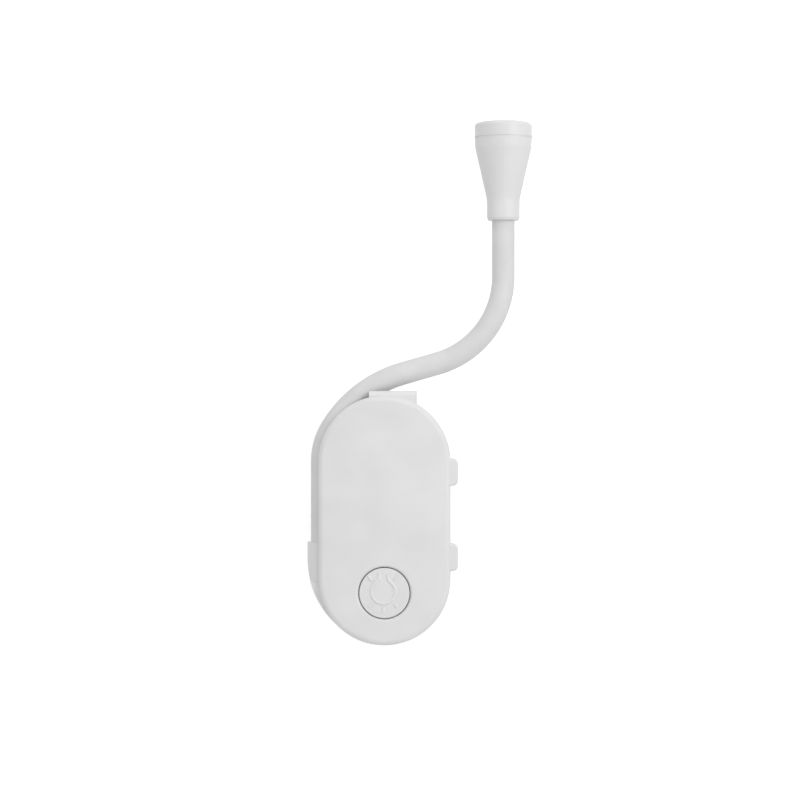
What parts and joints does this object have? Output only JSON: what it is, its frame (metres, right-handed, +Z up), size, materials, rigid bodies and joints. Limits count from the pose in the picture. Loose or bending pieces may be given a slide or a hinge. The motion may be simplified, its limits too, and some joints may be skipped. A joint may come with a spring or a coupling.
{
  "type": "clip-on book light",
  "caption": "Clip-on reading light: flat oval battery case with a round push button, sprung back clip, and a bendable neck in a side groove carrying a small flared lamp head.",
  "frame": {"origin": "middle of the case's flat back, which is the fixed jaw of the clip", "axes": "+Z up along the case's long axis, -Y out of the front face with the button, +X to the right seen from the front"},
  "size_m": [0.0496, 0.0196, 0.1151],
  "materials": {
    "case_plastic": "satin moulded white",
    "button_plastic": "satin moulded white",
    "head_plastic": "satin moulded white",
    "neck_silicone": "matte white silicone",
    "grip_rubber": "matte grey",
    "wire_steel": "drawn wire",
    "spring_steel": "drawn wire",
    "pin_steel": "polished",
    "screw_steel": "nickel plated",
    "crimp_brass": "plain",
    "contact_brass": "plated",
    "cell_steel": "nickel plated",
    "board_laminate": "solder-masked laminate",
    "switch_plastic": "matte black",
    "plunger_plastic": "matte dark",
    "resistor_ceramic": "matte dark",
    "lead_insulation": "pvc insulation",
    "lens_clear": "clear",
    "led_resin": "clear resin",
    "reflector_metal": "vacuum plated",
    "holder_plastic": "matte white"
  },
  "bodies": {
    "case": {"front_cover": "case_plastic", "rear_shell": "case_plastic", "neck_clamp": "case_plastic", "neck_anchor": "crimp_brass", "case_screws": "screw_steel", "coin_cell_back": "cell_steel", "coin_cell_front": "cell_steel", "contact_back": "contact_brass", "contact_front": "contact_brass", "circuit_board": "board_laminate", "switch_body": "switch_plastic", "resistor": "resistor_ceramic", "board_leads": "lead_insulation", "clip_pin": "pin_steel", "clip_spring": "spring_steel", "case_grip_pad": "grip_rubber", "neck_sleeve_0": "neck_silicone", "neck_wire_0": "wire_steel", "neck_leads_0": "lead_insulation"},
    "button": {"button_cap": "button_plastic", "switch_plunger": "plunger_plastic"},
    "clip": {"clip_lever": "case_plastic", "lever_grip_pad": "grip_rubber"},
    "neck_1": {"neck_sleeve_1": "neck_silicone", "neck_wire_1": "wire_steel", "neck_leads_1": "lead_insulation"},
    "neck_2": {"neck_sleeve_2": "neck_silicone", "neck_wire_2": "wire_steel", "neck_leads_2": "lead_insulation"},
    "neck_3": {"neck_sleeve_3": "neck_silicone", "neck_wire_3": "wire_steel", "neck_leads_3": "lead_insulation"},
    "neck_4": {"neck_sleeve_4": "neck_silicone", "neck_wire_4": "wire_steel", "neck_leads_4": "lead_insulation"},
    "neck_5": {"neck_sleeve_5": "neck_silicone", "neck_wire_5": "wire_steel", "neck_leads_5": "lead_insulation"},
    "neck_6": {"neck_sleeve_6": "neck_silicone", "neck_wire_6": "wire_steel", "neck_leads_6": "lead_insulation"},
    "lamp_head": {"neck_sleeve_7": "neck_silicone", "neck_wire_7": "wire_steel", "neck_leads_7": "lead_insulation", "head_shell": "head_plastic", "head_ring": "head_plastic", "head_lens": "lens_clear", "head_reflector": "reflector_metal", "head_led": "led_resin", "head_led_pins": "screw_steel", "head_led_holder": "holder_plastic"}
  },
  "joints": [
    {"name": "button_push", "type": "slide", "parent": "case", "child": "button", "axis": [0, 1, 0], "range_m": [0, 0.0008], "stiffness_N_per_m": 1500, "springref_m": -0.0005},
    {"name": "clip_squeeze", "type": "hinge", "parent": "case", "child": "clip", "pos_m": [0, 0.0041, 0.002], "axis": [1, 0, 0], "range_deg": [0, 15.5], "stiffness_Nm_per_rad": 0.1, "springref_deg": -20.05, "deforming": ["clip_spring"]},
    {"name": "neck_root_sway", "type": "hinge", "parent": "case", "child": "neck_1", "pos_m": [-0.0138, -0.005, 0.001], "axis": [0, -1, 0], "range_deg": [0, 30]},
    {"name": "neck_shoulder_sway", "type": "hinge", "parent": "neck_1", "child": "neck_2", "pos_m": [-0.0055, -0.005, 0.02733], "axis": [0, -1, 0], "range_deg": [-5, 35]},
    {"name": "neck_waist_nod", "type": "hinge", "parent": "neck_2", "child": "neck_3", "pos_m": [0.00806, -0.005, 0.03342], "axis": [0.2756, 0, -0.9613], "range_deg": [-25, 35]},
    {"name": "neck_elbow_sway", "type": "hinge", "parent": "neck_3", "child": "neck_4", "pos_m": [0.01969, -0.005, 0.03889], "axis": [0, -1, 0], "range_deg": [-30, 30]},
    {"name": "neck_upper_nod", "type": "hinge", "parent": "neck_4", "child": "neck_5", "pos_m": [0.02559, -0.005, 0.04858], "axis": [0.9665, 0, -0.2566], "range_deg": [-30, 35]},
    {"name": "neck_tip_sway", "type": "hinge", "parent": "neck_5", "child": "neck_6", "pos_m": [0.02626, -0.005, 0.05572], "axis": [0, -1, 0], "range_deg": [-30, 30]},
    {"name": "head_nod", "type": "hinge", "parent": "neck_6", "child": "lamp_head", "pos_m": [0.02626, -0.005, 0.06212], "axis": [1, 0, 0], "range_deg": [-30, 35]}
  ]
}
